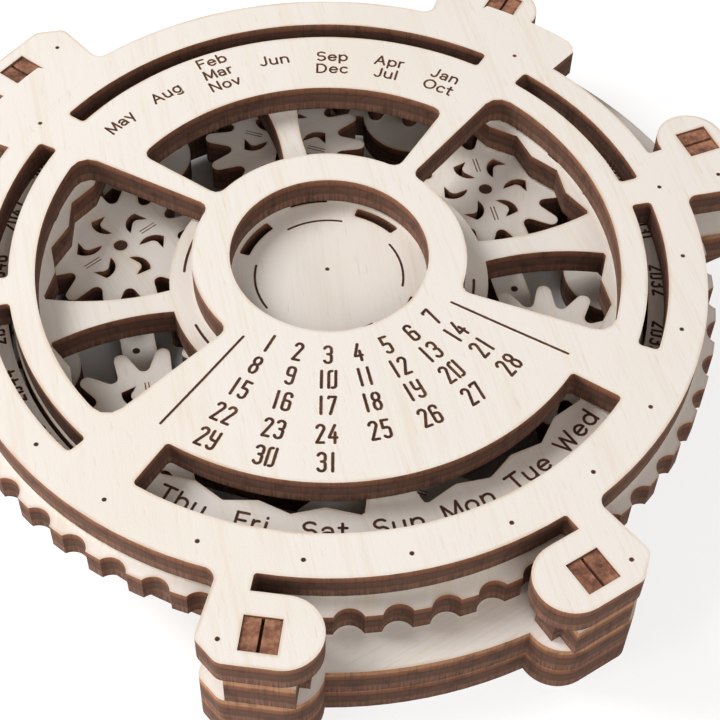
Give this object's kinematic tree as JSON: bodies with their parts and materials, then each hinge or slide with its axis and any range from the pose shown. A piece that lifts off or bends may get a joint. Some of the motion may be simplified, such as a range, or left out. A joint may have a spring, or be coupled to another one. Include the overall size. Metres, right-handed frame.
{
  "type": "perpetual desk calendar",
  "caption": "Flat perpetual calendar of layered laser-cut plywood: a notched year ring turns a weekday wheel behind the dial's windows through a planetary gear train.",
  "frame": {"origin": "on the dial's axis, at the underside of the back plate", "axes": "+X to the right of the dial, +Y to its top, +Z out of its face along the axis"},
  "size_m": [0.0872, 0.0803, 0.0132],
  "materials": {
    "birch_face": "pale birch plywood, cut edges charred brown, lettering scored dark brown",
    "birch_back": "pale birch plywood, cut edges charred brown",
    "birch_dial": "pale birch plywood, cut edges charred brown, lettering scored dark brown",
    "birch_gear": "pale birch plywood, cut edges charred brown",
    "birch_guide": "pale birch plywood, cut edges charred brown",
    "peg_wood": "plywood peg seen on its charred end",
    "pin_wood": "plain round hardwood pin"
  },
  "bodies": {
    "frame": {"front_plate": "birch_face", "back_plate": "birch_back", "pegs": "peg_wood", "guide_foot": "birch_guide", "guide_right": "birch_guide", "guide_left": "birch_guide", "spacers_foot": "birch_guide", "spacers_right": "birch_guide", "spacers_left": "birch_guide", "centre_pin": "pin_wood", "planet_pins": "pin_wood"},
    "year_ring": {"year_ring": "birch_dial", "ring_gear": "birch_gear", "ring_dowels": "pin_wood"},
    "weekday_wheel": {"weekday_wheel": "birch_dial", "hub_disc": "birch_dial", "sun_gear": "birch_gear", "wheel_dowels": "pin_wood"},
    "planet_1": {"planet_1": "birch_gear"},
    "planet_2": {"planet_2": "birch_gear"},
    "planet_3": {"planet_3": "birch_gear"},
    "planet_4": {"planet_4": "birch_gear"},
    "planet_5": {"planet_5": "birch_gear"},
    "planet_6": {"planet_6": "birch_gear"}
  },
  "joints": [
    {"name": "year_ring_turn", "type": "hinge", "parent": "frame", "child": "year_ring", "pos_m": [0, 0, 0.0083], "axis": [0, 0, 1], "continuous": true},
    {"name": "weekday_wheel_turn", "type": "hinge", "parent": "frame", "child": "weekday_wheel", "pos_m": [0, 0, 0.0083], "axis": [0, 0, 1], "continuous": true},
    {"name": "planet_1_turn", "type": "hinge", "parent": "frame", "child": "planet_1", "pos_m": [0.01914, 0.01105, 0.0049], "axis": [0, 0, 1], "continuous": true},
    {"name": "planet_2_turn", "type": "hinge", "parent": "frame", "child": "planet_2", "pos_m": [0, 0.0221, 0.0049], "axis": [0, 0, 1], "continuous": true},
    {"name": "planet_3_turn", "type": "hinge", "parent": "frame", "child": "planet_3", "pos_m": [-0.01914, 0.01105, 0.0049], "axis": [0, 0, 1], "continuous": true},
    {"name": "planet_4_turn", "type": "hinge", "parent": "frame", "child": "planet_4", "pos_m": [-0.01914, -0.01105, 0.0049], "axis": [0, 0, 1], "continuous": true},
    {"name": "planet_5_turn", "type": "hinge", "parent": "frame", "child": "planet_5", "pos_m": [0, -0.0221, 0.0049], "axis": [0, 0, 1], "continuous": true},
    {"name": "planet_6_turn", "type": "hinge", "parent": "frame", "child": "planet_6", "pos_m": [0.01914, -0.01105, 0.0049], "axis": [0, 0, 1], "continuous": true}
  ],
  "couplings": [
    {"joint": "weekday_wheel_turn", "follows": "year_ring_turn", "ratio": -2},
    {"joint": "planet_1_turn", "follows": "year_ring_turn", "ratio": 4},
    {"joint": "planet_2_turn", "follows": "year_ring_turn", "ratio": 4},
    {"joint": "planet_3_turn", "follows": "year_ring_turn", "ratio": 4},
    {"joint": "planet_4_turn", "follows": "year_ring_turn", "ratio": 4},
    {"joint": "planet_5_turn", "follows": "year_ring_turn", "ratio": 4},
    {"joint": "planet_6_turn", "follows": "year_ring_turn", "ratio": 4}
  ]
}
